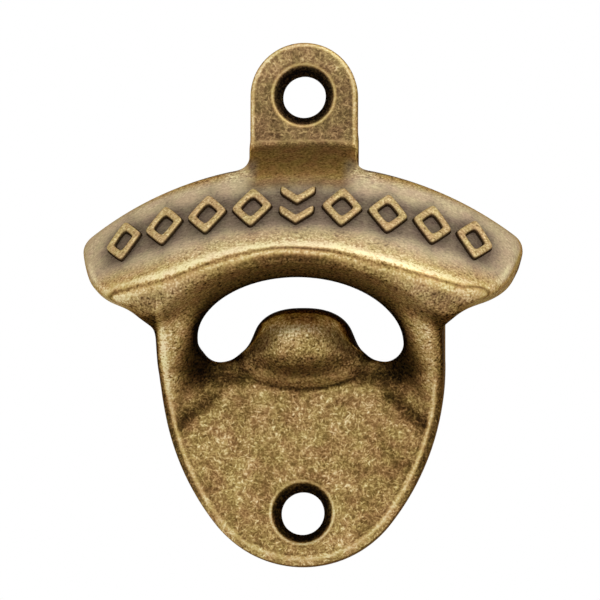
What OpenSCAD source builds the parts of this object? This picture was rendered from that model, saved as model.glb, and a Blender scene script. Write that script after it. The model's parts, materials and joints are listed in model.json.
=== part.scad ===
// Wall-mounted bottle opener, cast in one piece, modelled as its functional regions.
// The wall is the plane Y = 0, the front faces -Y, +Z is up.
// The origin is midway between the two screw holes, on the wall.

/* [Screw holes] */
// Distance between the centres of the two screw holes
hole_spacing = 64; // [56:0.5:76]
// Diameter of the straight part of each screw hole
bore_d = 6.6; // [4:0.1:8]
// Diameter of the countersink at the front face
sink_d = 9.6; // [8.2:0.1:12]
// Depth of the countersink
sink_depth = 1.4; // [0.8:0.1:2.4]

/* [Upper lug] */
// Width of the lug and of the neck under it
lug_w = 16.4; // [14:0.2:20]
// Thickness of the lug
lug_t = 3.5; // [3:0.1:5]
// Distance from the upper hole down to the crease where the neck begins
lug_drop = 7.6; // [7:0.1:9]

/* [Hood] */
// Distance from the upper hole down to the top edge of the hood
hood_drop = 11.8; // [10:0.1:14]
// Distance from the wall to the top edge of the hood's face
hood_stand_off = 11; // [9:0.1:13]
// Width of the hood from wing tip to wing tip
hood_w = 67; // [62:0.5:74]
// Length of the sloping hood, from its top edge to the tip of the lip
hood_len = 22.3; // [20:0.1:25]
// Thickness of the hood, which is also the diameter of the rounded lip
hood_t = 6; // [4.5:0.1:7]
// Angle between the hood's face and the wall
hood_tilt = 45; // [40:1:50]
// Radius of the bow of the hood's face from wing to wing
bow_r = 55; // [50:1:70]
// Radius of the hood's top edge in the front view
crown_r = 55; // [50:1:70]
// Height of the lower end of each wing's straight edge above the lip
wing_end_rise = 2.6; // [1.5:0.1:4]
// Least distance of the wings from the wall
wing_gap = 1.5; // [0.5:0.1:3]
// Width of the slanted corner of each wing
wing_cut_w = 4.9; // [3:0.1:7]
// Height of the slanted corner of each wing
wing_cut_h = 5.9; // [4:0.1:7]
// Slope of the underside of each wing
wing_droop = 21; // [15:1:30]

/* [Throat] */
// Width of the window between the cheeks, which takes a crown cap
window_w = 31.2; // [28:0.1:34]
// Radius of the window's arch in the front view
arch_r = 21; // [19:0.5:26]
// Height of the gap between the lip and the top of the boss
cap_gap = 2.5; // [1.5:0.1:4]
// Thickness of the front wall on both sides of the arch
front_wall_t = 4; // [3:0.1:5]
// How much wider the throat is behind the front wall, on each side
throat_relief = 1.8; // [0.4:0.1:2.4]
// Radius of the throat's lower corners behind the front wall
throat_corner_r = 5; // [2:0.1:6]
// Height of the cheeks above the window sill, along the wall
cheek_rise = 19; // [15:0.5:22]
// Length of the cheeks below the window sill, along the plate
cheek_drop = 11.7; // [9:0.1:14]
// Height above the plate of the ramp that fills the corner between sill and cheek
ramp_rise = 2; // [1:0.1:3]
// Distance from the sill down to the foot of that ramp beside the boss
ramp_drop = 1.6; // [0.6:0.1:3]
// Width of the narrow ridge along the outer edge of each cheek
ridge_w = 1.6; // [1:0.1:2.4]
// Radius of the web between a wing and the cheek under it
web_r = 8; // [4:0.1:10]

/* [Boss] */
// Width of the boss that the cap's rim pushes against
boss_w = 17; // [14:0.2:20]
// Height of the boss above the window sill
boss_h = 7.8; // [6.5:0.1:9]
// Distance from the wall to the front of the boss
boss_reach = 11; // [10:0.1:13]
// Radius of the boss's rounded front in the side view
boss_r = 6.2; // [5.5:0.1:7]
// Radius of the boss's rounded front in the plan view
boss_plan_r = 10; // [9:0.1:14]

/* [Back plate] */
// Width of the back plate and across the cheeks
plate_w = 43.2; // [40:0.2:48]
// Thickness of the back plate
plate_t = 4; // [3:0.1:5]
// Distance from the lower hole down to the end of the plate
plate_tail = 8.1; // [7:0.1:10]
// Radius of the plate's lower end
plate_end_r = 16.8; // [14:0.1:18]
// Height above the window sill where the straight sides begin, below it if negative
shoulder_rise = -0.6; // [-2:0.1:3]

/* [Relief] */
// Height of the raised pattern above the hood's face
relief_h = 0.7; // [0.4:0.05:1]
// Distance from the hood's top edge to the middle of the pattern
relief_drop = 10.4; // [9.5:0.1:11]
// Height of the pattern along the face
relief_len = 9.4; // [7:0.1:10]
// Gap between neighbouring figures
relief_gap = 0.9; // [0.6:0.1:1.4]
// Width of one lozenge
lozenge_w = 6; // [5:0.1:6.2]
// Width of the raised line around each lozenge
lozenge_line = 1.3; // [0.8:0.1:1.4]
// Number of lozenges on each side
lozenge_count = 4; // [2:1:4]
// Width of the chevrons
chevron_w = 5.7; // [4.6:0.1:6.4]
// Thickness of a chevron along the face
chevron_line = 2.1; // [1.4:0.1:2.6]

/* [Hidden] */
$fn = 128;

bronze = "#7d6233";
worn_bronze = "#a58549";
far = 200;
cut_margin = 1;

// Heights, from the upper hole down to the lower end
hole_z = hole_spacing / 2;
crease_z = hole_z - lug_drop;
hood_top_z = hole_z - hood_drop;
lip_r = hood_t / 2;
lip_s = hood_len - lip_r;
lip_d = hood_stand_off + lip_s * sin(hood_tilt) - lip_r * cos(hood_tilt);
lip_z = hood_top_z - lip_s * cos(hood_tilt) - lip_r * sin(hood_tilt);
lip_bottom_z = lip_z - lip_r;
boss_top_z = lip_bottom_z - cap_gap;
sill_z = boss_top_z - boss_h;
shoulder_z = sill_z + shoulder_rise;
foot_z = sill_z - cheek_drop;
cheek_top_z = sill_z + cheek_rise;
plate_end_z = -hole_z - plate_tail;

// Lower end of the neck, behind the hood
neck_back_d = hood_stand_off - hood_t * cos(hood_tilt);
neck_back_z = hood_top_z - hood_t * sin(hood_tilt);

// How far the hood runs on behind its top edge, to where its back reaches the height of that edge
hood_run_on = hood_t * tan(hood_tilt);

// Side arcs of the plate, tangent to its straight sides and to its round end
plate_half = plate_w / 2;
end_z = plate_end_z + plate_end_r;
arc_rise = shoulder_z - end_z;
side_r = (pow(plate_half, 2) + pow(arc_rise, 2) - pow(plate_end_r, 2)) / (2 * (plate_half - plate_end_r));
side_x = side_r - plate_half;
tangent_z = end_z - plate_end_r * arc_rise / (side_r - plate_end_r);

// Front of the cheeks: a line from their foot on the plate to the underside of the lip
window_half = window_w / 2;
throat_half = window_half + throat_relief;
front_slope = (lip_d - plate_t) / (lip_bottom_z - foot_z);
front_wall_d = front_wall_t * sqrt(1 + pow(front_slope, 2));
ridge_x = plate_half - ridge_w;
springing_z = lip_bottom_z - arch_r + sqrt(pow(arch_r, 2) - pow(window_half, 2));
foot_ridge = at(ridge_x, plate_t, foot_z);
boss_half = boss_w / 2;

// Wing corners in the front view
hood_half = hood_w / 2;
wing_end_z = lip_bottom_z + wing_end_rise;
wing_low_x = hood_half - wing_cut_w;
wing_low_z = wing_end_z - wing_cut_h;

// The web's round meets the wing's underside before the wing's corner, and bites a little into it
web_share = 1 - sin(wing_droop);
web_fit_r = min(web_r, (wing_low_x - plate_half) / web_share);
web_bite = 0.1;
web_x = plate_half + web_fit_r;
web_z = underside_z(web_x) - web_fit_r / cos(wing_droop) + web_bite;

// Spacing of the relief along the bowed face
lozenge_start = chevron_w / 2 + relief_gap + lozenge_w / 2;
lozenge_pitch = lozenge_w + relief_gap;
chevron_drop = (relief_len - relief_gap) / 2 - chevron_line;

// Depth of the cheeks' front at a height z
function front_d(z) = plate_t + (z - foot_z) * front_slope;
// Depth of the middle of the hood's thickness at a height z
function mid_hood_d(z) = lip_d - (z - lip_z) * tan(hood_tilt);
// Height of the wing's underside at a place across
function underside_z(x) = wing_low_z - (wing_low_x - x) * tan(wing_droop);
// A point given by its place across, its depth from the wall and its height
function at(x, d, z) = [x, -d, z];

// Front-view outline, run out from the wall to a depth
module from_wall(depth) {
    rotate([90, 0, 0])
        linear_extrude(depth)
            children();
}

// Side-view outline in depth and height, run across from x0 to x1
module across(x0, x1) {
    translate([x0, 0, 0])
        rotate([90, 0, 90])
            linear_extrude(x1 - x0)
                mirror([1, 0])
                    children();
}

// Everything on the side of the plane through a, b and c that cross(b - a, c - a) points to
module beyond(a, b, c) {
    normal = cross(b - a, c - a);
    translate(a)
        rotate([0, acos(normal.z / norm(normal)), atan2(normal.y, normal.x)])
            translate([-far / 2, -far / 2, 0])
                cube(far);
}

// Frame on the hood's face: x across, y up the face, z out of it, from the middle of the top edge
module on_face() {
    translate(at(0, hood_stand_off, hood_top_z))
        rotate([90 - hood_tilt, 0, 0])
            children();
}

// The same frame moved round the bow of the face by an arc length
module along_bow(arc) {
    on_face()
        translate([0, 0, -bow_r])
            rotate([0, arc / bow_r * 180 / PI, 0])
                translate([0, 0, bow_r])
                    children();
}

// A section in radius and height, turned about the axis of the bow
module bowed() {
    on_face()
        translate([0, 0, -bow_r])
            rotate([-90, 0, 0])
                rotate_extrude()
                    children();
}

// Space under a bowed surface that lies at a depth below the hood's face
module under_face(depth) {
    bowed()
        translate([0, -far / 2])
            square([bow_r - depth, far]);
}

// Straight screw hole with its countersink in a wall of thickness t
module screw_hole(z, t) {
    translate([0, 0, z])
        rotate([90, 0, 0]) {
            translate([0, 0, -cut_margin])
                cylinder(d = bore_d, h = t + 2 * cut_margin);
            translate([0, 0, t - sink_depth])
                cylinder(d1 = bore_d, d2 = sink_d, h = sink_depth);
            translate([0, 0, t])
                cylinder(d = sink_d, h = cut_margin);
        }
}

// Outline of plate and cheeks: straight sides, side arcs and a round end
module body_outline() {
    translate([0, end_z])
        circle(plate_end_r);
    difference() {
        translate([-plate_half, tangent_z])
            square([plate_w, far / 2]);
        outside_side_arc();
        mirror([1, 0])
            outside_side_arc();
    }
}

// What the side arc takes off the straight side below the shoulder
module outside_side_arc() {
    difference() {
        translate([0, tangent_z])
            square([far, shoulder_z - tangent_z]);
        translate([-side_x, shoulder_z])
            circle(side_r);
    }
}

// Front-view outline of the hood
module hood_outline() {
    intersection() {
        translate([0, hood_top_z - crown_r])
            circle(crown_r);
        polygon([
            [-hood_half, hood_top_z],
            [-hood_half, wing_end_z],
            [-wing_low_x, wing_low_z],
            [0, underside_z(0)],
            [wing_low_x, wing_low_z],
            [hood_half, wing_end_z],
            [hood_half, hood_top_z],
        ]);
    }
}

// The bowed, sloping slab with its rounded lip, notched for the neck and cut to the hood's outline
module hood_solid() {
    intersection() {
        difference() {
            bowed() {
                translate([bow_r - hood_t, -lip_s])
                    square([hood_t, lip_s + hood_run_on]);
                translate([bow_r - lip_r, -lip_s])
                    circle(lip_r);
            }
            on_face()
                translate([-lug_w / 2, 0, -far / 2])
                    cube([lug_w, far, far]);
        }
        translate([0, -wing_gap, 0])
            from_wall(far / 2)
                hood_outline();
    }
}

// Side view of a cheek, from the wall to the sloping front
module cheek_profile() {
    polygon([
        [0, sill_z],
        [plate_t, sill_z],
        [plate_t, foot_z],
        [lip_d, lip_bottom_z],
        [lip_d, lip_z],
        [mid_hood_d(cheek_top_z), cheek_top_z],
        [0, cheek_top_z],
    ]);
}

// Side view of the front wall alone
module front_wall_profile() {
    intersection() {
        cheek_profile();
        polygon([
            [front_d(foot_z), foot_z],
            [front_d(lip_bottom_z), lip_bottom_z],
            [lip_d, hood_top_z],
            [front_d(lip_bottom_z) - front_wall_d, hood_top_z],
            [front_d(lip_bottom_z) - front_wall_d, lip_bottom_z],
            [front_d(foot_z) - front_wall_d, foot_z],
        ]);
    }
}

// Side view of the space behind the front wall
module behind_front_wall_profile() {
    polygon([
        [-cut_margin, sill_z],
        [front_d(sill_z) - front_wall_d, sill_z],
        [front_d(lip_bottom_z) - front_wall_d, lip_bottom_z],
        [front_d(lip_bottom_z) - front_wall_d, hood_top_z],
        [-cut_margin, hood_top_z],
    ]);
}

// Front view of the throat's +X half behind the front wall, with its rounded lower corner
module throat_outline() {
    corner_x = throat_half - throat_corner_r;
    corner_z = sill_z + throat_corner_r;
    translate([0, corner_z])
        square([throat_half, far]);
    translate([0, sill_z])
        square([corner_x, throat_corner_r]);
    translate([corner_x, corner_z])
        circle(throat_corner_r);
}

// Front view of the web that fills the corner between wing and cheek
module web_outline() {
    difference() {
        translate([ridge_x, web_z])
            square([plate_half - ridge_x + web_fit_r * web_share, 2 * web_fit_r]);
        translate([web_x, web_z])
            circle(web_fit_r);
    }
}

// Ramp on the plate beside the boss, from a slanting foot up to the corner between sill and cheek
module corner_ramp() {
    foot_inner = at(boss_half, plate_t, sill_z - ramp_drop);
    top_corner = at(window_half, plate_t + ramp_rise, sill_z);
    difference() {
        translate([0, -plate_t, 0])
            from_wall(far / 2)
                polygon([
                    [boss_half, sill_z],
                    [boss_half, sill_z - ramp_drop],
                    [ridge_x, foot_z],
                    [ridge_x, sill_z],
                ]);
        beyond(foot_inner, foot_ridge, top_corner);
    }
}

// One cheek on the +X side, with its share of the front wall, its web and its ramp
module cheek() {
    cheek_wall();
    corner_ramp();
}

module cheek_wall() {
    sill_corner = at(window_half, plate_t, sill_z);
    sill_ridge = at(ridge_x, front_d(sill_z), sill_z);
    springing = at(window_half, front_d(springing_z) - front_wall_d, springing_z);
    difference() {
        intersection() {
            union() {
                intersection() {
                    across(window_half, plate_half)
                        cheek_profile();
                    from_wall(far / 2)
                        body_outline();
                }
                across(0, window_half)
                    front_wall_profile();
                intersection() {
                    across(ridge_x, web_x)
                        front_wall_profile();
                    from_wall(far / 2)
                        web_outline();
                }
            }
            under_face(lip_r);
        }
        hood_solid();
        intersection() {
            across(0, throat_half)
                behind_front_wall_profile();
            translate([0, cut_margin, 0])
                from_wall(far / 2)
                    throat_outline();
        }
        translate([0, 0, lip_bottom_z - arch_r])
            rotate([90, 0, 0])
                intersection() {
                    cylinder(r = arch_r, h = far / 2);
                    translate([-window_half, 0, 0])
                        cube([window_w, far, far]);
                }
        translate([-window_half, -far / 2, sill_z - far])
            cube([window_w, far, far - sill_z + lip_bottom_z - arch_r]);
        intersection() {
            beyond(sill_corner, sill_ridge, springing);
            translate([0, -far / 2, sill_z])
                cube([far, far, far]);
        }
        intersection() {
            beyond(sill_corner, foot_ridge, sill_ridge);
            translate([0, -far / 2, sill_z - far])
                cube([far, far, far]);
        }
    }
}

// A raised figure: a flat shape pushed out of the face, cut to a skin of the relief's height
module raised(arc) {
    intersection() {
        along_bow(arc)
            translate([0, -relief_drop, -relief_len])
                linear_extrude(2 * relief_len)
                    children();
        bowed()
            translate([bow_r, -hood_len])
                square([relief_h, hood_len]);
    }
}

// Open lozenge drawn with an even line
module lozenge() {
    half_w = lozenge_w / 2;
    half_h = relief_len / 2;
    edge = norm([half_w, half_h]);
    difference() {
        diamond(half_w, half_h);
        diamond(half_w - lozenge_line * edge / half_h, half_h - lozenge_line * edge / half_w);
    }
}

module diamond(half_w, half_h) {
    polygon([
        [half_w, 0],
        [0, half_h],
        [-half_w, 0],
        [0, -half_h],
    ]);
}

// One chevron that points down, with its tip at y
module chevron(y) {
    half_w = chevron_w / 2;
    polygon([
        [0, y],
        [half_w, y + chevron_drop],
        [half_w, y + chevron_drop + chevron_line],
        [0, y + chevron_line],
        [-half_w, y + chevron_drop + chevron_line],
        [-half_w, y + chevron_drop],
    ]);
}

module lozenges(side) {
    for (i = [0 : lozenge_count - 1])
        raised(side * (lozenge_start + i * lozenge_pitch))
            lozenge();
}

// Upper lug with the upper screw hole
module mounting_lug() {
    color(bronze)
        difference() {
            from_wall(lug_t) {
                translate([0, hole_z])
                    circle(d = lug_w);
                translate([-lug_w / 2, crease_z])
                    square([lug_w, hole_z - crease_z]);
            }
            screw_hole(hole_z, lug_t);
        }
}

// Ramp that carries the hood out from the lug
module neck() {
    color(bronze)
        intersection() {
            across(-lug_w / 2, lug_w / 2)
                polygon([
                    [0, crease_z],
                    [lug_t, crease_z],
                    [hood_stand_off, hood_top_z],
                    [neck_back_d, neck_back_z],
                    [0, neck_back_z],
                ]);
            under_face(0);
        }
}

// Sloping, bowed hood whose rounded lower edge is the lip that hooks the cap
module hood() {
    color(bronze)
        hood_solid();
}

module right_cheek() {
    color(bronze)
        cheek();
}

module left_cheek() {
    color(bronze)
        mirror([1, 0, 0])
            cheek();
}

// Plate on the wall with the lower screw hole
module back_plate() {
    color(bronze)
        difference() {
            from_wall(plate_t)
                intersection() {
                    body_outline();
                    translate([-far / 2, sill_z - far])
                        square([far, far]);
                }
            screw_hole(-hole_z, plate_t);
        }
}

// Rounded boss on the plate's upper edge that the cap's lower rim pushes against
module fulcrum_boss() {
    round_d = boss_reach - boss_r;
    round_z = boss_top_z - boss_r;
    color(bronze)
        difference() {
            intersection() {
                across(-boss_half, boss_half) {
                    translate([round_d, round_z])
                        circle(boss_r);
                    translate([0, sill_z])
                        square([round_d, boss_h]);
                }
                from_wall(far / 2) {
                    translate([0, boss_top_z - boss_half])
                        circle(d = boss_w);
                    translate([-boss_half, boss_top_z - boss_w])
                        square([boss_w, boss_half]);
                }
                translate(at(0, boss_reach - boss_plan_r, boss_top_z - boss_w))
                    cylinder(r = boss_plan_r, h = boss_w);
            }
            translate([-far / 2, -plate_t, sill_z - far])
                cube(far);
        }
}

// Two stacked chevrons in the middle of the hood's face
module raised_chevrons() {
    color(worn_bronze)
        raised(0) {
            chevron(relief_gap / 2);
            chevron(-relief_len / 2);
        }
}

module left_lozenges() {
    color(worn_bronze)
        lozenges(-1);
}

module right_lozenges() {
    color(worn_bronze)
        lozenges(1);
}

mounting_lug();
neck();
hood();
left_cheek();
right_cheek();
back_plate();
fulcrum_boss();
raised_chevrons();
left_lozenges();
right_lozenges();
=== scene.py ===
"""Looks of the wall-mounted bottle opener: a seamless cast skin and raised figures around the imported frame.

Shapes are worked out in millimetres as (across, depth from the wall, height) and turned into metres last.
A field is a solid's signed distance, negative inside. The casting is the same on both sides of its middle
plane, so its field takes x as the distance from that plane.
"""

import json
import math

import bmesh
import bpy
import numpy as np
import openvdb
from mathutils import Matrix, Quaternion, Vector


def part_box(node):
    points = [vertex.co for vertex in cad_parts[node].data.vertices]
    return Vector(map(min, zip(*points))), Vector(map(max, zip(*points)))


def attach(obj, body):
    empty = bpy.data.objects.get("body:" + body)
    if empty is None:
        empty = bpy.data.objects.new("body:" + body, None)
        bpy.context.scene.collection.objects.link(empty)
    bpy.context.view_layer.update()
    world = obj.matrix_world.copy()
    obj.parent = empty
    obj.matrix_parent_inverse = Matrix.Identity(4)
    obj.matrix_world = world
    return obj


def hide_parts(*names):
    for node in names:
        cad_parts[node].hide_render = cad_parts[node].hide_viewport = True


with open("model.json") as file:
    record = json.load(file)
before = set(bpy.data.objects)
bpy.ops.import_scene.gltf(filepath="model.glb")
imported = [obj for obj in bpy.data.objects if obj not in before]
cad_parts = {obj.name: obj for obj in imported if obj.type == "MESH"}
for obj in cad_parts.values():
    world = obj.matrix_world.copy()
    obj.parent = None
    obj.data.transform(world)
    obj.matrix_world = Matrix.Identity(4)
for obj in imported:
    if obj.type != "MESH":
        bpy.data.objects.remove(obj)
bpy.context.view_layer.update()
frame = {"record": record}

MM = 1000.0


def span(node):
    """Lowest and highest corner of a CAD node in millimetres: across, depth from the wall, height."""
    low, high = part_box(node)
    return np.array([low.x, -high.y, low.z]) * MM, np.array([high.x, -low.y, high.z]) * MM


# Sizes taken from the frame
lug_low, lug_high = span("mounting_lug")
neck_low, neck_high = span("neck")
_, hood_high = span("hood")
plate_low, plate_high = span("back_plate")
_, boss_high = span("fulcrum_boss")
mounts = {mount["name"]: mount for mount in frame["record"]["mounts"]}
HOLE_R = mounts["wall_screws"]["dims"]["hole_r_mm"]
HOLE_Z = mounts["upper_screw_hole"]["pos_m"][2] * MM
LUG_HALF, LUG_T, CREASE_Z = lug_high[0], lug_high[1], lug_low[2]
NECK_LOW_Z, STAND_OFF = neck_low[2], neck_high[1]
HOOD_HALF, HOOD_TOP_Z = hood_high[0], hood_high[2]
PLATE_T, SILL_Z, PLATE_END_Z = plate_high[1], plate_high[2], plate_low[2]
BOSS_REACH, BOSS_TOP_Z = boss_high[1], boss_high[2]

# Sizes of the casting that the boxes of its nodes don't give
HOOD_T = 6.0
HOOD_LEN = 22.3
BOW_R = 55.0
CROWN_R = 55.0
CROWN_UP = 0.35
WING_GAP = 1.5
PLATE_HALF = 21.6
PLATE_END_R = 16.8
SHOULDER_Z = -9.5
WINDOW_HALF = 15.4
WINDOW_LOW_Z = -9.0
WINDOW_CORNER_R = 2.8
HOLLOW_HALF = 17.4
HOLLOW_CORNER_R = 5.0
SPRING_Z = -7.0
ARCH_RISE = 8.9
SINK_DEPTH = 1.4
SINK_SLOPE = 1.07
RIM_R = 1.25
LUG_RIM_R = 0.7
LUG_FOOT_Z = 17.0
LIP_R = HOOD_T / 2

# The hood's face leans at 45 degrees
LEAN = math.sqrt(0.5)

# Crease between lug and neck: its height over the lug's lower end, and the drop of its ends
CREASE_UP = 1.0
CREASE_DROP = 0.25

# Ramp of the neck: how far it looks up and out
NECK_UP, NECK_OUT = 0.872, 0.488

# End of a wing: its upright side, the slant that turns the side in below, and the slanting underside
WING_OFF = 0.5
TURN_OUT, TURN_DOWN, TURN_AT = 0.805, 0.593, 24.6
UNDER_X, UNDER_Z, UNDER_RUN, UNDER_SLANT = 27.8, -1.4, 0.38, 1.07

# Dip of the lip over each cheek
LIP_DIP = 2.2
LIP_DIP_ARC = 21.0
LIP_DIP_WIDTH = 8.5

# Low step under the boss, and the ramp from a slanting foot up to the corner under each cheek
STEP_H = 1.1
STEP_LOW_Z = -13.3
STEP_CURVE = 0.026
RAMP_FOOT_X, RAMP_FOOT_Z = 10.4, -12.0
RAMP_RUN = 0.79
RAMP_SLOPE = 0.34

# Front of the cheeks: a plane from the plate up to the underside of the lip
FRONT_D, FRONT_Z = 22.0, 1.0
FRONT_RUN = 0.835

# Blocks of the cheeks end under the hood's face, and leave a wall between their front and the hollow
BLOCK_UNDER = 4.0
BLOCK_TOP_Z = 8.0
WALL_T = 4.0
WALL_LOW_Z = -4.0

# Throat: how deep its edge lies behind the front and how far from the wall at most, how much deeper it runs
# low down, how much narrower than the window it is, and how it widens to the front and below the sill
EDGE_DEPTH, EDGE_MOST_D = 3.3, 21.0
EDGE_LOW_Z, EDGE_LOW_RUN = -4.0, 0.6
EDGE_IN = 0.45
THROAT_RUN = 0.42
FLARE_RUN = 0.386

# Draft of the window's sides and of its lower end
SIDE_DRAFT, LOW_DRAFT = 0.03, 0.11

# Boss: a dome round a point over the sill
BOSS_MID_Z = -6.3
BOSS_HALF = 7.7
BOSS_LOW = 5.5
BOSS_TOP_UP = 0.45
BOSS_POWER = 2.4
BOSS_SPREAD = 5.0

# Distance of the parting line of the casting from the tip of the lip
SEAM_UP = 1.7

# Sizes of the raised figures
RELIEF_H = 0.7
RELIEF_DROP = 10.4
RELIEF_LEN = 9.4
RELIEF_DRAFT = 0.25
RELIEF_RIM_R = 0.28
RELIEF_SKIRT = 0.5
RELIEF_ROOT = 0.45
RELIEF_MARGIN = 0.8
LOZENGE_W = 6.0
LOZENGE_LINE = 1.3
LOZENGE_SOFT = 0.35
LOZENGE_START = 6.75
LOZENGE_PITCH = 6.9
LOZENGE_COUNT = 4
CHEVRON_W = 5.3
CHEVRON_LINE = 2.1
CHEVRON_SOFT = 0.02
CHEVRON_DROP = 2.8
CHEVRON_PITCH = 4.8

# Resolution of the two fields, and the box of half the casting's
SKIN_VOXEL = 0.25
RELIEF_VOXEL = 0.14
SKIN_LOW = (0.0, -1.5, -42.0)
SKIN_HIGH = (36.0, 28.5, 42.0)

# Reach of the two blurs that tell edges from hollows
NEAR_REACH, WIDE_REACH = 0.7, 2.5

# Tones of the finish, painted light and shade among them, from 0 for black to 1 for rubbed bright and painted
# highlights
BASE_TONE = 0.675
NECK_SHADE_TONE = 0.43
FLANK_HIGHLIGHT_TONE = 0.84
FACE_TONE = 0.81
NOSE_RUBBED_HIGHLIGHT_TONE = 0.98
CROWN_TONE = 0.4
UNDER_TONE = 0.56
BOSS_TONE = 0.68
BOSS_TURN_SHADE_TONE = 0.02
CORNER_SHADE_TONE = 0.06
RIM_HIGHLIGHT_TONE = 0.88
RIM_SIDE_SHADE_TONE = 0.68
SIDE_SHADE_TONE = 0.3
RING_HIGHLIGHT_TONE = 0.97
SINK_SHADE_TONE = 0.02
WINDOW_SHADE_TONE = 0.04
FIGURE_FOOT_SHADE_TONE, FIGURE_RISE = 0.1, 0.68

# Places on the finish: half width of the neck's face, a painted highlight on the boss, spots of painted light
# under the lip, and black corners of the throat in painted shade
NECK_FACE_HALF = 8.6
BOSS_HIGHLIGHT_X, BOSS_HIGHLIGHT_Z = -1.6, -6.2
UNDER_LIGHT_SPOT_X = 18.0
CORNER_X, CORNER_Z = 15.2, -10.6

# Waves of the parting line: how far down, where round the bow and how wide
PARTING_WAVES = ((0.3, -17.5, 5.0), (0.2, -9.0, 5.0), (0.4, 12.0, 4.0), (-0.3, 22.0, 5.0))


def ramp(value):
    return np.maximum(value, 0)


def smooth_step(low, high, value):
    """Share from 0 at low to 1 at high, which may lie below low."""
    t = np.clip((value - low) / (high - low), 0, 1)
    return t * t * (3 - 2 * t)


def bell(value, width):
    return np.exp(-((value / width) ** 2))


def blend(a, b, share):
    return a + (b - a) * share


def smooth_min(a, b, width):
    """Union of two solids with a fillet of about that width."""
    h = ramp(width - np.abs(a - b)) / width
    return np.minimum(a, b) - h * h * width / 4


def smooth_max(a, b, width):
    """Common part of two solids with a rounded edge of about that width."""
    return -smooth_min(-a, -b, width)


def soft_ramp(value, width):
    """The value where it is above 0, with a soft bend of about that width."""
    return smooth_max(value, 0 * value, width)


def rounded(a, b, radius):
    """Common part of two half spaces with an edge of that radius."""
    a = a + radius
    b = b + radius
    return np.minimum(np.maximum(a, b), 0) + np.hypot(ramp(a), ramp(b)) - radius


def face_frame(x, d, z):
    """Place on the hood: distance down its face, arc round its bow, height above its face."""
    out = d - STAND_OFF
    up = z - HOOD_TOP_Z
    down = (out - up) * LEAN
    above = (out + up) * LEAN + BOW_R
    return down, BOW_R * np.arctan2(x, above), np.hypot(x, above) - BOW_R


def from_face(down, arc, height):
    """The point at that place on the hood."""
    angle = arc / BOW_R
    x = (BOW_R + height) * np.sin(angle)
    above = (BOW_R + height) * np.cos(angle) - BOW_R
    d = STAND_OFF + (above + down) * LEAN
    z = HOOD_TOP_Z + (above - down) * LEAN
    return x, d, z


def plate_outline(x, z):
    """Front view of plate and cheeks: straight sides, side arcs tangent to them and a round end."""
    end_z = PLATE_END_Z + PLATE_END_R
    rise = SHOULDER_Z - end_z
    side_r = (PLATE_HALF ** 2 + rise ** 2 - PLATE_END_R ** 2) / (2 * (PLATE_HALF - PLATE_END_R))
    side_x = PLATE_HALF - side_r
    side = np.where(z > SHOULDER_Z, x - PLATE_HALF, np.hypot(x - side_x, z - SHOULDER_Z) - side_r)
    end = np.hypot(x, z - end_z) - PLATE_END_R
    at_end = np.arctan2(x, end_z - z) < math.atan2(-side_x, rise)
    return np.where(at_end, end, side)


def lug_outline(x, z):
    return np.where(z > HOLE_Z, np.hypot(x, z - HOLE_Z), x) - LUG_HALF


def window(x, z):
    """Front view of the arched window without its lower end: an ellipse on straight sides."""
    above = ramp(z - SPRING_Z)
    k0 = np.sqrt((x / WINDOW_HALF) ** 2 + (above / ARCH_RISE) ** 2)
    k1 = np.sqrt((x / WINDOW_HALF ** 2) ** 2 + (above / ARCH_RISE ** 2) ** 2) + 1e-6
    return np.where(z > SPRING_Z, k0 * (k0 - 1) / k1, x - WINDOW_HALF)


def above_crease(x, z):
    """Height above the crease between lug and neck, which is a little crowned."""
    return z - CREASE_Z - CREASE_UP + CREASE_DROP * (x / LUG_HALF) ** 2


def neck_top(x, d, z):
    """Ramp from the lug out to the hood, between rounded sides."""
    slope = NECK_UP * above_crease(x, z) + NECK_OUT * (d - LUG_T)
    return smooth_max(x - LUG_HALF, slope, 1.2)


def lip_down(arc):
    """Distance down the hood's face to the tip of the lip."""
    return HOOD_LEN + LIP_DIP * bell(np.abs(arc) - LIP_DIP_ARC, LIP_DIP_WIDTH)


def wing_outline(x, z):
    """Front view of the hood's end: an upright side that turns in below, and the underside of the wing."""
    side = smooth_max(x - (HOOD_HALF + WING_OFF), TURN_OUT * x - TURN_DOWN * z - TURN_AT, 5.0)
    underside = -(z - UNDER_Z + (UNDER_X - x) * UNDER_RUN) / UNDER_SLANT
    return smooth_max(side, underside, 2.5)


def hood_field(x, d, z):
    """Bowed, sloping slab with a full round lip, cut to its front view, and the neck that carries it."""
    down, arc, height = face_frame(x, d, z)
    slab = rounded(np.abs(height + LIP_R) - LIP_R, down - lip_down(arc), LIP_R)
    crown = np.hypot(x, z - (HOOD_TOP_Z + CROWN_UP - CROWN_R)) - CROWN_R
    ramp_top = neck_top(x, d, z)
    top = smooth_min(crown, ramp_top, 2.4)
    outline = smooth_max(top, wing_outline(x, z), 1.6)
    edge = 1.4 + 2.6 * smooth_step(11, 6, x)
    hood = smooth_max(slab, outline, edge)
    hood = smooth_max(hood, WING_GAP - d, 0.6)
    neck = np.maximum(smooth_max(height, ramp_top, edge), NECK_LOW_Z - z)
    return hood, neck


def front_depth(z):
    """Depth of the front of the cheeks at a height."""
    return FRONT_D + FRONT_RUN * (z - FRONT_Z)


def flare(z):
    """How much the throat widens below the sill."""
    return FLARE_RUN * soft_ramp(SILL_Z - z, 4.0)


def funnel_field(x, d, z):
    """The throat from the front: it narrows towards the window's edge and widens over the plate."""
    edge_d = front_depth(z) - EDGE_DEPTH - EDGE_LOW_RUN * soft_ramp(EDGE_LOW_Z - z, 3.0)
    edge_d = np.clip(edge_d, PLATE_T, EDGE_MOST_D)
    return window(x, z) + EDGE_IN - flare(z) - THROAT_RUN * ramp(d - edge_d)


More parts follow.
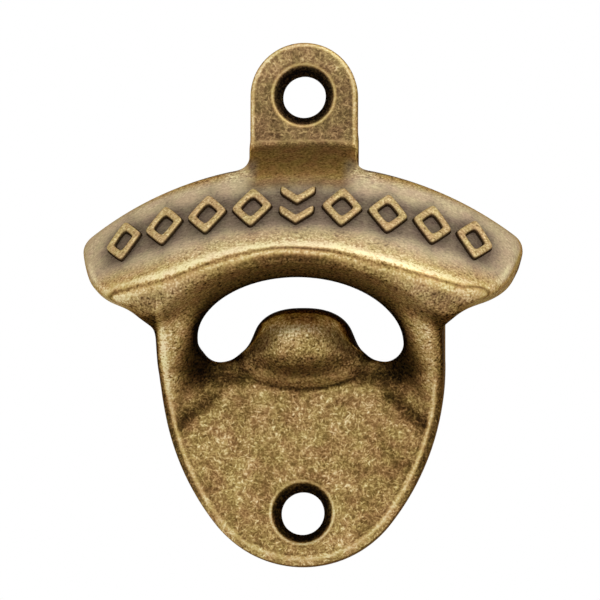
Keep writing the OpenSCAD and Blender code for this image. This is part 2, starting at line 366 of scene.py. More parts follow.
def screw_hole_field(x, d, z, hole_z, front_d):
    sunk = np.clip(d - front_d + SINK_DEPTH, 0, SINK_DEPTH + 0.5)
    return np.hypot(x, z - hole_z) - HOLE_R - sunk * SINK_SLOPE


def above_step_foot(x, z):
    """Height above the crease at the foot of the step, which curves like a smile."""
    return z - STEP_LOW_Z - STEP_CURVE * x ** 2


def above_ramp_foot(x, z):
    """Distance from the slanting crease at the foot of the ramp."""
    return (z - RAMP_FOOT_Z + RAMP_RUN * (x - RAMP_FOOT_X)) / math.hypot(1, RAMP_RUN)


def plate_rise(x, z):
    """How far step and ramps stand out of the plate's face."""
    step = STEP_H * smooth_step(-0.2, 1.2, above_step_foot(x, z)) * smooth_step(11.5, 8.5, x)
    slope = soft_ramp(RAMP_SLOPE * above_ramp_foot(x, z), 0.6)
    return smooth_max(step, slope, 0.6)


def dome_field(x, d, z):
    """The boss: a dome that stands out of the plate over the sill."""
    tall = np.where(z > BOSS_MID_Z, BOSS_TOP_Z + BOSS_TOP_UP - BOSS_MID_Z, BOSS_LOW)
    parts = (x / BOSS_HALF, np.abs((z - BOSS_MID_Z) / tall), ramp(d) / BOSS_REACH)
    k = parts[0] ** BOSS_POWER + parts[1] ** BOSS_POWER + parts[2] ** BOSS_POWER
    return (k ** (1 / BOSS_POWER) - 1) * BOSS_SPREAD


def casting_field(x, d, z):
    """The whole casting. x is the distance from the middle plane."""
    _, _, height = face_frame(x, d, z)
    outline = plate_outline(x, z)
    front = (d - front_depth(z)) / math.hypot(1, FRONT_RUN)
    hood, neck = hood_field(x, d, z)

    # Cheeks under the hood, opened by the throat in front and the hollow behind
    deep = smooth_step(-1.0, -5.0, height)
    block = smooth_max(np.maximum(outline, height + BLOCK_UNDER), front, 2.4)
    body = smooth_min(hood, np.maximum(block, z - BLOCK_TOP_Z), 0.3 + 5.5 * deep)
    body = smooth_max(body, -funnel_field(x, d, z), 0.5 + 4.5 * deep)
    pocket = rounded(x - HOLLOW_HALF, SILL_Z - z, HOLLOW_CORNER_R)
    hollow = smooth_max(pocket, np.maximum(height + HOOD_T, z - NECK_LOW_Z), 1.0)
    hollow = smooth_max(hollow, front + WALL_T + soft_ramp(WALL_LOW_Z - z, 2.0), 2.0)
    body = smooth_max(body, -hollow, 1.0)

    # Plate with its step and ramps, filleted to the cheeks, and the solid corners of the hollow on the sill
    plate = rounded(np.maximum(outline, z - SILL_Z), d - PLATE_T - plate_rise(x, z), RIM_R)
    over_sill = np.maximum(-pocket, z - SILL_Z - HOLLOW_CORNER_R)
    corners = np.maximum(np.maximum(outline, over_sill), d - PLATE_T)
    at_corner = bell(np.hypot(x - WINDOW_HALF, z - SILL_Z), 3.0)
    fillet = (2.4 + 3.0 * at_corner) * smooth_step(-0.3, -2.5, outline) * smooth_step(1.5, 4.0, d)
    body = np.minimum(smooth_min(body, plate, 0.1 + fillet), corners)

    # Window through to the wall, and the boss in it
    drafted = ramp(d - PLATE_T) * smooth_step(-2.0, -6.0, z)
    lower_end = WINDOW_LOW_Z - z - LOW_DRAFT * drafted
    through = rounded(window(x, z) - SIDE_DRAFT * drafted, lower_end, WINDOW_CORNER_R)
    body = smooth_max(body, -through, 0.8)
    body = smooth_min(body, dome_field(x, d, z), 3.4 + 2.1 * smooth_step(-10.5, -7.5, z))

    # Neck, lug and screw holes, ending at the wall
    body = np.minimum(body, neck)
    lug = rounded(np.maximum(lug_outline(x, z), LUG_FOOT_Z - z), d - LUG_T, LUG_RIM_R)
    body = smooth_min(body, lug, 0.5)
    for hole_z, front_d in ((HOLE_Z, LUG_T), (-HOLE_Z, PLATE_T)):
        body = smooth_max(body, -screw_hole_field(x, d, z, hole_z, front_d), 0.8)
    return np.maximum(body, -d)


def grid(low, high, voxel):
    """Axes of a field as three arrays that broadcast to its whole box."""
    axes = [np.arange(a, b + voxel, voxel, dtype=np.float32) for a, b in zip(low, high)]
    return axes[0][:, None, None], axes[1][None, :, None], axes[2][None, None, :]


def skin_of(field, low, voxel):
    """Points and quads of the surface where the field is zero."""
    volume = openvdb.FloatGrid(background=1.0)
    volume.copyFromArray(np.ascontiguousarray(np.clip(field, -1, 1), dtype=np.float32))
    points, quads = volume.convertToQuads(isovalue=0.0)
    return points * voxel + np.array(low), quads


def new_piece(name, points, quads, material):
    """A smooth mesh object from points in millimetres, with its faces turned outwards."""
    mesh = bpy.data.meshes.new(name)
    metres = np.stack([points[:, 0], -points[:, 1], points[:, 2]], 1) / MM
    mesh.from_pydata(metres.tolist(), [], quads.tolist())
    shell = bmesh.new()
    shell.from_mesh(mesh)
    bmesh.ops.recalc_face_normals(shell, faces=shell.faces[:])
    shell.to_mesh(mesh)
    shell.free()
    mesh.polygons.foreach_set("use_smooth", np.ones(len(mesh.polygons), bool))
    mesh.materials.append(material)
    piece = bpy.data.objects.new(name, mesh)
    bpy.context.scene.collection.objects.link(piece)
    return piece


def facing(piece):
    """How far each point's normal looks to the front and up."""
    normals = np.empty(3 * len(piece.data.vertices), np.float32)
    piece.data.vertex_normals.foreach_get("vector", normals)
    _, back, up = normals.reshape(-1, 3).T
    return -back, up


def paint(piece, **values):
    """Writes one number per point for each named finish."""
    for name, value in values.items():
        attribute = piece.data.attributes.new(name, "FLOAT", "POINT")
        attribute.data.foreach_set("value", np.ascontiguousarray(np.clip(value, 0, 1), dtype=np.float32))


def blurred(values, reach):
    """Mean over a box of that many cells each way, taken twice along each axis."""
    for _ in range(2):
        for axis in range(3):
            pad = [(0, 0)] * 3
            pad[axis] = (reach + 1, reach)
            total = np.cumsum(np.pad(values, pad, mode="edge"), axis=axis, dtype=np.float32)
            count = values.shape[axis]
            upper = np.take(total, np.arange(2 * reach + 1, 2 * reach + 1 + count), axis=axis)
            lower = np.take(total, np.arange(count), axis=axis)
            values = (upper - lower) / (2 * reach + 1)
    return values


def sampled(values, points, low, voxel):
    """Values of a field at points, interpolated between its cells."""
    place = (points - np.array(low)) / voxel
    cell = np.clip(place.astype(int), 0, np.array(values.shape) - 2)
    t = np.clip(place - cell, 0, 1)
    result = 0
    for corner in np.ndindex(2, 2, 2):
        weight = np.prod(np.where(corner, t, 1 - t), axis=1)
        i, j, k = (cell + np.array(corner)).T
        result = result + weight * values[i, j, k]
    return result


def lozenge_distance(u, v):
    """Open lozenge drawn with an even line and soft corners."""
    half_w, half_h = LOZENGE_W / 2, RELIEF_LEN / 2
    across = np.sqrt(u ** 2 + LOZENGE_SOFT ** 2) - LOZENGE_SOFT / 2
    along = np.sqrt(v ** 2 + LOZENGE_SOFT ** 2) - LOZENGE_SOFT / 2
    outside = (across / half_w + along / half_h - 1) * half_w * half_h / math.hypot(half_w, half_h)
    return np.abs(outside + LOZENGE_LINE / 2) - LOZENGE_LINE / 2


def chevron_distance(u, v):
    """Two stacked chevrons that point down."""
    slope = CHEVRON_DROP / (CHEVRON_W / 2)
    lean = math.cos(math.atan(slope))
    from_tip = v + RELIEF_LEN / 2 - CHEVRON_LINE / 2 - slope * np.sqrt(u ** 2 + CHEVRON_SOFT)
    line = np.minimum(np.abs(from_tip), np.abs(from_tip - CHEVRON_PITCH))
    return smooth_max((line - CHEVRON_LINE / 2) * lean, np.abs(u) - CHEVRON_W / 2, 0.5)


def figure_distance(arc, up):
    """Distance to the nearest raised figure in the plane of the face."""
    index = np.clip(np.round((np.abs(arc) - LOZENGE_START) / LOZENGE_PITCH), 0, LOZENGE_COUNT - 1)
    lozenge = lozenge_distance(np.abs(arc) - LOZENGE_START - index * LOZENGE_PITCH, up)
    return np.minimum(lozenge, chevron_distance(arc, up))


def figure_field(distance, height):
    """A raised figure with drafted sides, a soft rim and a fillet that runs into the face."""
    solid = rounded(distance + RELIEF_DRAFT * ramp(height), height - RELIEF_H, RELIEF_RIM_R)
    solid = smooth_min(solid, height + 0.12, 0.35)
    return np.maximum(solid, np.maximum(distance - RELIEF_SKIRT, -height - RELIEF_ROOT))


def raised_piece(name, distance, arcs, half_w, material):
    """Copies of one figure at places round the bow of the hood's face."""
    low = (-half_w - RELIEF_MARGIN, -RELIEF_LEN / 2 - RELIEF_MARGIN, -0.7)
    high = (half_w + RELIEF_MARGIN, RELIEF_LEN / 2 + RELIEF_MARGIN, RELIEF_H + 0.4)
    u, v, height = grid(low, high, RELIEF_VOXEL)
    flat, quads = skin_of(figure_field(distance(u, v), height), low, RELIEF_VOXEL)
    copies = [from_face(RELIEF_DROP - flat[:, 1], arc + flat[:, 0], flat[:, 2]) for arc in arcs]
    points = np.concatenate([np.stack(copy, 1) for copy in copies])
    faces = np.concatenate([quads + index * len(flat) for index in range(len(arcs))])
    piece = new_piece(name, points, faces, material)
    raised = np.tile(flat[:, 2], len(arcs)) / RELIEF_H
    # Painted shade at the foot of each figure, lighter towards its top
    tone = FIGURE_FOOT_SHADE_TONE + FIGURE_RISE * smooth_step(0.15, 0.8, raised)
    paint(piece, tone=tone, dusky=np.full_like(tone, 0.3), speckled=raised * 0.6)
    return piece


class Skin:
    """Points of the casting's skin, where on it they lie, and the finish with its painted light and shade
    laid on them so far.

    Where they lie is told by shares from 0 to 1 and by distances in millimetres.
    near and wide are the shares of solid around each point: low on edges, high in hollows.
    """

    def __init__(self, piece, points, near, wide):
        self.side, self.d, self.z = side, d, z = points.T
        self.x = x = np.abs(side)
        self.down, self.arc, self.height = down, arc, height = face_frame(side, d, z)
        self.front, self.up = front, up = facing(piece)
        self.edges = smooth_step(0.44, 0.31, near)
        self.hollows = 0.5 * smooth_step(0.54, 0.68, near) + 0.6 * smooth_step(0.54, 0.72, wide)
        # Rubbed edges are lighter; hollows are darker with patina and with painted shade
        self.tone = BASE_TONE + 0.2 * self.edges - 0.4 * self.hollows
        self.dusky = np.zeros_like(self.tone)

        # Lug, the crest along its crease, and the neck below
        self.below = below = CREASE_Z - z
        self.on_lug = smooth_step(CREASE_Z - 0.5, CREASE_Z + 1.5, z)
        self.crest = bell(above_crease(x, z) - 0.15, 0.24) * smooth_step(0.5, 0.8, front) * self.on_lug
        within = smooth_step(1.8, 0.2, x - NECK_FACE_HALF + 0.4 * below) * smooth_step(6.0, 1.0, down)
        self.on_neck = smooth_step(0.35, 0.65, up) * smooth_step(-1.5, 0.5, below) * within

        # Hood: its face, and its nose with the parting line and a groove along it
        self.seam = seam = down - lip_down(arc) + SEAM_UP
        self.to_nose = smooth_step(-6.5, -1.5, seam)
        self.on_nose = smooth_step(-2.6, -0.6, height) * smooth_step(9, 11, d)
        within = smooth_step(0.5, 3.5, down) * smooth_step(0.2, -1.0, seam)
        self.on_face = smooth_step(-0.8, -0.25, height) * within * (1 - self.on_neck)
        self.parting = seam - sum(shift * bell(arc - at, width) for shift, at, width in PARTING_WAVES)
        self.groove = self.parting + 0.42 * bell(arc + 2.5, 7.0) + 0.8 * smooth_step(24.5, 28.0, side)

        # Underside of lip, wings and cheeks, the window's edge, and the boss
        self.under = smooth_step(-0.5, -1.6, height) * smooth_step(4.5, 7.5, d) * smooth_step(8.0, 6.0, z)
        self.to_window = window(x, z) - flare(z)
        self.by_window = bell(ramp(self.to_window), 1.55)
        within = smooth_step(-11.5, -9.5, z) * smooth_step(0.5, -0.5, z)
        self.on_boss = smooth_step(10.5, 8.0, x) * within * smooth_step(12.0, 11.0, d)

        # Rims of lug and plate with a line of painted highlight, and rings of painted highlight round the
        # screw holes, weaker over the lower one
        self.at_side = smooth_step(12.5, 18.5, x)
        plate_rim = plate_outline(x, z) + RIM_R - 0.25 + 0.15 * self.at_side
        self.rim = np.where(z > 0, (lug_outline(x, z) + 0.45) * 1.5, plate_rim)
        self.on_rim = (smooth_step(-9.0, -14.0, z) + self.on_lug) * smooth_step(2.0, 3.0, d)
        self.rim_line = self.on_rim * bell(self.rim, 0.34)
        self.from_sink = np.hypot(x, np.abs(z) - HOLE_Z) - HOLE_R - SINK_DEPTH * SINK_SLOPE
        self.at_hole = smooth_step(1.0, 2.0, d)
        self.over_hole = smooth_step(1.0, 4.0, z + HOLE_Z) * smooth_step(0.0, -5.0, z)
        self.ring = bell(self.from_sink - 0.02, 0.24) * self.at_hole * (1 - 0.4 * self.over_hole)

        # Flat fronts of lug and plate
        elsewhere = (1 - self.under) * (1 - self.on_face) * (1 - self.on_boss)
        self.flats = smooth_step(0.6, 0.85, front) * smooth_step(13.5, 12.0, d) * elsewhere

    def cover(self, share, tone=None, dusky=None):
        """Lays a tone or duskiness over a share of each point."""
        if tone is not None:
            self.tone = blend(self.tone, tone, share)
        if dusky is not None:
            self.dusky = blend(self.dusky, dusky, share)


def finish_lug(skin):
    """A little darker and duskier than the plate, with a painted highlight on the crest along the crease."""
    to_top = smooth_step(HOLE_Z - 6, HOLE_Z + 7, skin.z)
    skin.tone += skin.on_lug * (0.11 * to_top - 0.14) + 0.2 * skin.crest
    skin.cover(skin.on_lug, dusky=0.22)


def finish_neck(skin):
    """Painted shade under the crease, lighter towards the hood, with painted highlights on the flanks."""
    flank = smooth_step(0.2, 0.5, skin.up) * smooth_step(6.0, 7.5, skin.x) * smooth_step(13.0, 10.0, skin.x)
    flank = flank * smooth_step(1.5, 3.5, skin.below) * smooth_step(11.0, 9.0, skin.below)
    skin.cover(flank, FLANK_HIGHLIGHT_TONE, 0.6)
    skin.cover(skin.on_neck, NECK_SHADE_TONE + 0.17 * smooth_step(2.2, 6.8, skin.below))


def finish_face(skin):
    """Dusky, with painted shade round the figures, darker under the neck, and a painted highlight down the
    wing's end.
    """
    # Painted shade round the figures, and a darker band of patina along their row
    around = bell(ramp(figure_distance(skin.arc, RELIEF_DROP - skin.down)), 1.4)
    band = bell(ramp(np.abs(RELIEF_DROP + 0.5 - skin.down) - 2.6), 2.1)
    band = band * bell(ramp(np.abs(skin.arc) - 29.0), 2.5)
    under_neck = smooth_step(9.0, 6.0, skin.x) * smooth_step(7.0, 4.0, skin.down)
    tone = FACE_TONE - 0.13 * around - 0.27 * band - 0.23 * under_neck
    tone = tone - (0.01 + 0.07 * smooth_step(17.0, 23.0, skin.x)) * skin.to_nose
    # The dusky grey is partly patina and partly a painted whitish sheen of the light from above
    dusky = 0.95 - (0.6 + 0.25 * smooth_step(12.0, 20.0, skin.x)) * skin.to_nose - 0.5 * under_neck
    skin.cover(skin.on_face, tone, dusky)
    wing_line = bell(wing_outline(skin.x, skin.z) + 0.8, 0.35) * smooth_step(6.0, 4.0, skin.z)
    skin.tone += 0.12 * wing_line * skin.on_face


def finish_nose(skin):
    """Rubbed bright and painted as a highlight above the parting line, less so towards the wings."""
    to_wing = smooth_step(20, 29, skin.x)
    skin.cover(bell(skin.parting + 1.0, 0.9) * skin.on_nose * (1 - 0.6 * to_wing), NOSE_RUBBED_HIGHLIGHT_TONE)


def finish_crown(skin):
    """Top edge of the hood beside the neck: dark and dusky."""
    beside_neck = smooth_step(8.6, 10.5, skin.x)
    crown = smooth_step(0.8, 0.93, skin.up) * beside_neck * smooth_step(1.0, -0.5, skin.down)
    skin.cover(crown, CROWN_TONE, 0.8)


def finish_underside(skin):
    """Lip, wings and cheeks from below: patina and painted shade, darkest along the window, painted light on
    wings and cheeks.

    Painted light from one side: the cheek's outer edge is dark on the right, and on the left it has a light
    line inside a dark one.
    """
    on_cheek = smooth_step(-1.0, -5.0, skin.z)
    window_shade = 0.35 + 0.19 * smooth_step(1.0, -4.0, skin.z)
    tone = UNDER_TONE + 0.25 * on_cheek - window_shade * skin.by_window
    # Painted light on the wings, more on the left, and on a spot by each cheek; painted shade where cheeks
    # turn away
    tone = tone + (0.17 - 0.07 * np.sign(skin.side)) * smooth_step(21.0, 27.0, skin.x)
    tone = tone + 0.14 * bell(np.hypot(skin.x - UNDER_LIGHT_SPOT_X, skin.z), 3.0)
    tone = tone - 0.35 * on_cheek * smooth_step(0.62, 0.25, skin.front)
    to_edge = plate_outline(skin.x, skin.z)
    right_edge = -0.26 * smooth_step(-2.0, -0.6, to_edge) * smooth_step(0.0, 1.0, skin.side)
    left_edge = 0.2 * bell(to_edge + 1.35, 0.45) - 0.3 * smooth_step(-0.9, -0.3, to_edge)
    left_edge = left_edge * smooth_step(0.0, -1.0, skin.side)
    tone = tone + (right_edge + left_edge) * on_cheek + 0.05 * skin.edges - 0.05 * skin.hollows
    dusky = 0.2 * smooth_step(2.0, 5.0, skin.to_window) * (1 - on_cheek)
    skin.cover(skin.under, tone, dusky)


def finish_parting(skin):
    """Painted shade of a groove along the nose, over a painted highlight on a ridge, with painted shade below
    it in the middle.
    """
    outwards = smooth_step(4.0, 12.0, skin.x)
    depth = 0.22 + 0.2 * bell(skin.x, 7.0) + 0.15 * smooth_step(25.0, 28.0, skin.x)
    rise = 0.16 + 0.06 * smooth_step(18.0, 24.0, skin.x)
    ridge = bell(skin.groove - 0.6 - 0.2 * outwards, 0.35 + 0.25 * outwards)
    ridge = ridge * (1 - smooth_step(25.5, 28.0, skin.side))
    under_ridge = bell(skin.groove - 1.3, 0.36) * bell(skin.x, 8.0)
    change = rise * ridge - depth * bell(skin.groove, 0.25) - 0.34 * under_ridge
    skin.tone += change * skin.on_nose


def finish_boss(skin):
    """Painted light and shade: bright in front, dark on top, at its flanks and in the hollow below, black
    where it turns back.
    """
    tone = BOSS_TONE + 0.15 * smooth_step(0.0, 0.3, skin.up) - 0.3 * smooth_step(0.45, 0.75, skin.up)
    tone = tone - 0.24 * smooth_step(3.0, 8.0, skin.x) - 0.2 * smooth_step(-0.35, -0.75, skin.up)
    # A painted highlight left of the middle
    tone = tone + 0.1 * bell(np.hypot(skin.side - BOSS_HIGHLIGHT_X, skin.z - BOSS_HIGHLIGHT_Z), 2.4)
    tone = tone - 0.15 * skin.hollows
    turned = smooth_step(0.5, 0.25, skin.front) * smooth_step(-0.5, -0.1, skin.front)
    skin.cover(skin.on_boss, blend(tone, BOSS_TURN_SHADE_TONE, turned))


def finish_plate(skin):
    """Darker low on the right, with painted shade in a fine crease at the step's foot and wide ones at the
    ramps' feet.
    """
    x, z = skin.x, skin.z
    skin.tone -= 0.06 * smooth_step(-18.0, -22.0, z) * smooth_step(5.0, 12.0, skin.side)
    on_front = smooth_step(3.0, 3.8, skin.d) * smooth_step(0.3, 0.7, skin.front)
    step_foot = above_step_foot(x, z)
    under_boss = smooth_step(9.0, 6.5, x)
    fine = bell(step_foot, 0.4) * under_boss
    light = bell(step_foot - 1.3, 0.8) * under_boss
    ramp_foot = above_ramp_foot(x, z)
    on_ramp = smooth_step(-0.3, 0.6, ramp_foot) * smooth_step(SILL_Z + 0.5, SILL_Z - 1, z)
    on_ramp = on_ramp * smooth_step(20.5, 19.0, x)
    broad = bell(ramp_foot, 1.2) * smooth_step(8.5, 18.0, x) * smooth_step(20.4, 19.2, x)
    beside_boss = smooth_step(-13.6, -11.6, z) * smooth_step(6.5, 9.0, x) * smooth_step(17.0, 14.0, x)
    beside_boss = beside_boss * smooth_step(SILL_Z + 1.5, SILL_Z, z) * (1 - skin.on_boss)
    # Painted light on the ramps and over the step's foot, and painted shade beside the boss
    lighter = 0.06 * on_ramp + 0.09 * light
    skin.tone += (lighter - 0.32 * beside_boss - 0.36 * fine - 0.48 * broad) * on_front
    # Black corners of the throat in painted shade
    corner = bell(np.hypot(x - CORNER_X, z - CORNER_Z), 2.6) * smooth_step(3.5, 4.5, skin.d)
    skin.cover(0.95 * corner, CORNER_SHADE_TONE)


def finish_rims(skin):
    """A painted highlight on the rims with a thin line of painted shade inside, and painted shade outside
    them and on the sides.
    """
    outside = skin.on_rim * smooth_step(0.1, 0.55, skin.rim)
    skin.cover(outside, RIM_SIDE_SHADE_TONE - 0.32 * skin.at_side - 0.04 * skin.on_lug)
    skin.cover(skin.rim_line, RIM_HIGHLIGHT_TONE + 0.04 * skin.on_lug)
    skin.tone -= 0.08 * skin.on_rim * bell(skin.rim + 0.7, 0.22)
    skin.cover(np.maximum(skin.rim_line, outside), dusky=0.0)
    sides = smooth_step(0.35, 0.1, np.abs(skin.front)) * smooth_step(-2.0, -3.0, skin.height)
    skin.cover(0.7 * sides * (1 - skin.under) * (1 - skin.on_boss), SIDE_SHADE_TONE)


def finish_holes(skin):
    """Screw holes: a ring of painted highlight in a faint painted shade, around a countersink black with
    painted shade.
    """
    shade = bell(ramp(skin.from_sink - 0.3), 0.3) * skin.at_hole
    skin.tone -= (0.1 + 0.02 * skin.over_hole) * shade
    skin.cover(skin.ring, RING_HIGHLIGHT_TONE - 0.1 * skin.on_lug, 0.0)
    sunk = SINK_SHADE_TONE + 0.2 * smooth_step(-1.0, -0.3, skin.from_sink)
    sunk = sunk + 0.06 * smooth_step(-1.1, -1.4, skin.from_sink)
    skin.cover(smooth_step(-0.15, -0.4, skin.from_sink), sunk)


def finish_window(skin):
    """A black line of painted shade along the window's edge."""
    line = smooth_step(0.45, 0.15, skin.to_window) * smooth_step(-9.5, -8.5, skin.z)
    skin.cover(line * smooth_step(0.2, 0.8, skin.d) * (1 - skin.on_boss), WINDOW_SHADE_TONE)


def felting(skin):
    """How far scratches show: on the flat fronts and half on the boss, less on the painted highlights of
    rims, rings and crest.
    """
    share = np.maximum(skin.flats, 0.5 * skin.on_boss) * (1 - 0.15 * skin.on_lug)
    return share * (1 - skin.ring) * (1 - 0.7 * skin.rim_line) * (1 - skin.crest)


def speckling(skin):
    """How far grain and pits show: away from the flat fronts, less on the rubbed nose, on painted highlights
    and in painted shade.
    """
    share = 1 - np.maximum(skin.flats, skin.on_face * (0.75 - 0.5 * skin.to_nose)) + 0.3 * skin.on_boss
    share = share * (1 - 0.6 * bell(skin.seam + 0.9, 0.9) * skin.on_nose) * (1 - 0.5 * skin.on_neck)
    share = share * (1 - 0.5 * bell(skin.groove - 0.8, 0.8) * skin.on_nose)
    share = share * (1 - np.maximum(skin.ring, 0.7 * skin.rim_line))
    return share * (1 - 0.4 * skin.by_window * skin.under)


# Regions of the casting in the order in which their finish, with its painted light and shade, is laid
FINISHES = (finish_lug, finish_neck, finish_face, finish_nose, finish_crown, finish_underside,
            finish_parting, finish_boss, finish_plate, finish_rims, finish_holes, finish_window)


def casting_piece(material):
    """The seamless skin of the casting, with its finish and painted light and shade."""
    half = casting_field(*grid(SKIN_LOW, SKIN_HIGH, SKIN_VOXEL))
    field = np.concatenate([half[:0:-1], half])
    low = (-SKIN_VOXEL * (len(half) - 1), SKIN_LOW[1], SKIN_LOW[2])
    points, quads = skin_of(field, low, SKIN_VOXEL)
    piece = new_piece("opener_casting", points, quads, material)
    solid = np.clip(0.5 - field / SKIN_VOXEL, 0, 1).astype(np.float32)
    near, wide = [sampled(blurred(solid, round(reach / SKIN_VOXEL)), points, low, SKIN_VOXEL)
                  for reach in (NEAR_REACH, WIDE_REACH)]
    skin = Skin(piece, points, near, wide)
    for finish in FINISHES:
        finish(skin)
    paint(piece, tone=skin.tone, dusky=skin.dusky, felted=felting(skin), speckled=speckling(skin))
    return piece


def node(tree, kind, inputs=None, **settings):
    """A shader node with its settings, and its inputs set to numbers or linked to other nodes' sockets."""
    made = tree.nodes.new(kind)
    for name, value in settings.items():
        setattr(made, name, value)
    for key, value in (inputs or {}).items():
        if isinstance(value, bpy.types.NodeSocket):
            tree.links.new(value, made.inputs[key])
        else:
            made.inputs[key].default_value = value
    return made


def noise(tree, place, scale, detail, output="Fac"):
    inputs = {"Vector": place, "Scale": scale, "Detail": detail}
    return node(tree, "ShaderNodeTexNoise", inputs).outputs[output]


def stepped(tree, value, low, high, to_low=0.0, to_high=1.0):
    inputs = {"Value": value, "From Min": low, "From Max": high, "To Min": to_low, "To Max": to_high}
    return node(tree, "ShaderNodeMapRange", inputs).outputs["Result"]


def maths(tree, operation, a, b):
    return node(tree, "ShaderNodeMath", {0: a, 1: b}, operation=operation).outputs["Value"]


def mixed(tree, share, a, b):
    return node(tree, "ShaderNodeMix", {"Factor": share, 6: a, 7: b}, data_type="RGBA").outputs[2]


def attribute(tree, name):
    return node(tree, "ShaderNodeAttribute", attribute_name=name).outputs["Fac"]


def colours(tree, value, stops):
    """Colour ramp over evenly spaced colours."""
    made = node(tree, "ShaderNodeValToRGB", {"Fac": value})
    while len(made.color_ramp.elements) < len(stops):
        made.color_ramp.elements.new(0.5)
    for index, (element, colour) in enumerate(zip(made.color_ramp.elements, stops)):
        element.position = index / (len(stops) - 1)
        element.color = colour
    return made.outputs["Color"]


def linear(*shown):
    """Linear colour of red, green and blue as they show, each out of 255."""
    parts = [part / 255 for part in shown]
    return [part / 12.92 if part < 0.04 else ((part + 0.055) / 1.055) ** 2.4 for part in parts] + [1.0]


# Tint of the metal seen at a flat angle
EDGE_TINT = (0.25, 0.2, 0.13, 1.0)
# Colours of the finish and of painted light and shade, from its darkest hollows to its rubbed edges and
# painted highlights
BRASS_TONES = [linear(20, 14, 8), linear(66, 48, 22), linear(108, 83, 43), linear(156, 125, 74),
               linear(204, 174, 112), linear(248, 234, 186)]
DUSKY_TONES = [linear(20, 15, 12), linear(70, 60, 51), linear(112, 98, 84), linear(152, 137, 115),
               linear(196, 177, 145), linear(248, 234, 190)]
# Scales of the noises, in waves to the metre
DRIFT_SCALE = 1500.0
SCRATCH_SCALE = 3300.0
CLOUD_SCALE = 260.0
HUE_SCALE = 420.0
GRAIN_SCALE = 3000.0
PIT_SCALE = 1900.0
STREAK_SCALE = 3600.0
# Scratches: how far they curl in metres, how long they are for their width, and their directions
CURL = 0.0006
SCRATCH_LENGTH = 5.0
SCRATCH_TURNS = [math.radians(turn) for turn in (10, 55, 100, 145)]
# Scale of the streaks across, which draws them out to the sides
STREAK_ACROSS = 0.3
# How much darker pits are, and how deep the grain lies in metres
PIT_SHADE = 0.26
GRAIN_DEPTH = 0.0001


def felt(tree, place):
    """Short, slightly curled scratches that lie across each other in four directions."""
    drift = noise(tree, place, DRIFT_SCALE, 0.0, "Color")
    shifted = {0: drift, 1: (CURL, CURL, CURL), 2: place}
    curled = node(tree, "ShaderNodeVectorMath", shifted, operation="MULTIPLY_ADD").outputs["Vector"]
    scratches = 0.0
    for turn in SCRATCH_TURNS:
        turned = {"Vector": curled, "Rotation": (0, turn, 0), "Scale": (SCRATCH_LENGTH, 1, 1)}
        drawn = node(tree, "ShaderNodeMapping", turned, vector_type="TEXTURE").outputs["Vector"]
        layer = stepped(tree, noise(tree, drawn, SCRATCH_SCALE, 2.0), 0.53, 0.72)
        scratches = maths(tree, "MAXIMUM", layer, scratches)
    return scratches


def bronze_material(name):
    """Antique bronze: a painted tone with painted light and shade in it, broken up by felted scratches,
    grain, pits and clouds.
    """
    material = bpy.data.materials.new(name)
    material.use_nodes = True
    tree = material.node_tree
    shader = tree.nodes["Principled BSDF"]
    place = node(tree, "ShaderNodeTexCoord").outputs["Object"]

    scratches = felt(tree, place)
    cloud = noise(tree, place, CLOUD_SCALE, 4.0)
    hue = noise(tree, place, HUE_SCALE, 2.0)
    grain = noise(tree, place, GRAIN_SCALE, 2.0)
    pits = stepped(tree, noise(tree, place, PIT_SCALE, 1.5), 0.58, 0.66)
    drawn_out = {"Vector": place, "Scale": (STREAK_ACROSS, 1.0, 1.0)}
    along = node(tree, "ShaderNodeMapping", drawn_out).outputs["Vector"]
    streaks = noise(tree, along, STREAK_SCALE, 2.0)

    tumbled = stepped(tree, scratches, 0, 1, -0.12, 0.22)
    tumbled = maths(tree, "ADD", tumbled, stepped(tree, cloud, 0.3, 0.7, -0.1, 0.1))
    tumbled = maths(tree, "ADD", tumbled, stepped(tree, grain, 0.3, 0.7, -0.1, 0.1))
    pitted = stepped(tree, grain, 0.3, 0.7, -0.18, 0.22)
    pitted = maths(tree, "SUBTRACT", pitted, maths(tree, "MULTIPLY", pits, PIT_SHADE))
    rubbed = stepped(tree, streaks, 0.3, 0.7, -0.05, 0.05)
    tone = maths(tree, "ADD", attribute(tree, "tone"), rubbed)
    for mask, change in (("felted", tumbled), ("speckled", pitted)):
        tone = maths(tree, "ADD", tone, maths(tree, "MULTIPLY", attribute(tree, mask), change))
    brass = colours(tree, tone, BRASS_TONES)
    dusky = colours(tree, tone, DUSKY_TONES)
    base = mixed(tree, attribute(tree, "dusky"), brass, dusky)
    turned = stepped(tree, hue, 0.35, 0.65, 0.488, 0.508)
    clouded = node(tree, "ShaderNodeHueSaturation", {"Hue": turned, "Color": base})
    tree.links.new(clouded.outputs["Color"], shader.inputs["Base Color"])

    tree.links.new(stepped(tree, tone, 0.3, 1.0, 0.66, 0.48), shader.inputs["Roughness"])
    shader.inputs["Metallic"].default_value = 1.0
    shader.inputs["Specular Tint"].default_value = EDGE_TINT
    bump = node(tree, "ShaderNodeBump", {"Height": tone, "Strength": 0.3, "Distance": GRAIN_DEPTH})
    tree.links.new(bump.outputs["Normal"], shader.inputs["Normal"])
    return material


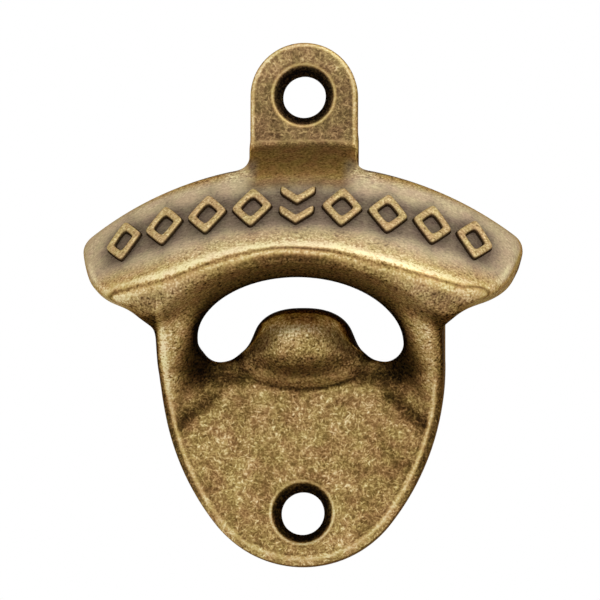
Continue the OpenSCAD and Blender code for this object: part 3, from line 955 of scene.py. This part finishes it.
def camera():
    """Camera in front of the opener, a little below it and to the right."""
    azimuth, elevation, roll = math.radians(3.6), math.radians(-6.5), math.radians(0.2)
    distance, pixels_per_mm, image_side = 0.8, 6.54, 600
    shift_x_px, shift_y_px = -4.3, 5.5
    lens = bpy.data.cameras.new("camera")
    eye = bpy.data.objects.new("camera", lens)
    bpy.context.scene.collection.objects.link(eye)
    back = Vector((math.sin(azimuth) * math.cos(elevation), -math.cos(azimuth) * math.cos(elevation),
                   math.sin(elevation)))
    eye.location = back * distance
    eye.rotation_mode = "QUATERNION"
    eye.rotation_quaternion = (-back).to_track_quat("-Z", "Y") @ Quaternion((0, 0, 1), roll)
    lens.sensor_width = 36.0
    lens.lens = lens.sensor_width * distance * pixels_per_mm * MM / image_side
    lens.shift_x = shift_x_px / image_side
    lens.shift_y = shift_y_px / image_side
    bpy.context.scene.camera = eye


def softbox(name, place, side, power):
    light = bpy.data.lights.new(name, "AREA")
    light.size = side
    light.energy = power
    lamp = bpy.data.objects.new(name, light)
    lamp.location = place
    lamp.rotation_mode = "QUATERNION"
    lamp.rotation_quaternion = (-Vector(place)).to_track_quat("-Z", "Y")
    bpy.context.scene.collection.objects.link(lamp)


def studio():
    """White surroundings, a pale floor well below the opener and soft light from above and in front."""
    world = bpy.data.worlds.new("studio")
    world.use_nodes = True
    background = world.node_tree.nodes["Background"]
    background.inputs["Color"].default_value = (1.0, 1.0, 1.0, 1.0)
    background.inputs["Strength"].default_value = 1.0
    bpy.context.scene.world = world
    softbox("key", place=(0.36, -0.3, 0.66), side=0.3, power=0.8)
    half, floor_z = 3.0, -0.3
    corners = [(-half, -half, floor_z), (half, -half, floor_z),
               (half, half, floor_z), (-half, half, floor_z)]
    floor_mesh = bpy.data.meshes.new("floor")
    floor_mesh.from_pydata(corners, [], [(0, 1, 2, 3)])
    pale = bpy.data.materials.new("pale_floor")
    pale.use_nodes = True
    surface = pale.node_tree.nodes["Principled BSDF"]
    surface.inputs["Base Color"].default_value = (0.8, 0.8, 0.8, 1.0)
    surface.inputs["Roughness"].default_value = 0.9
    floor_mesh.materials.append(pale)
    floor = bpy.data.objects.new("floor", floor_mesh)
    bpy.context.scene.collection.objects.link(floor)


camera()
studio()
antique = bronze_material("antique_bronze")
worn = bronze_material("worn_bronze")

casting = casting_piece(antique)
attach(casting, "root")
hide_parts("mounting_lug", "neck", "hood", "left_cheek", "right_cheek", "back_plate",
            "fulcrum_boss")

places = [LOZENGE_START + index * LOZENGE_PITCH for index in range(LOZENGE_COUNT)]
figures = (
    ("chevrons", "raised_chevrons", chevron_distance, [0.0], CHEVRON_W / 2),
    ("lozenges_left", "left_lozenges", lozenge_distance, [-arc for arc in places], LOZENGE_W / 2),
    ("lozenges_right", "right_lozenges", lozenge_distance, places, LOZENGE_W / 2),
)
for name, cad_node, distance, arcs, half_w in figures:
    piece = raised_piece(name, distance, arcs, half_w, worn)
    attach(piece, "root")
    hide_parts(cad_node)

bpy.context.scene.view_settings.view_transform = "Standard"
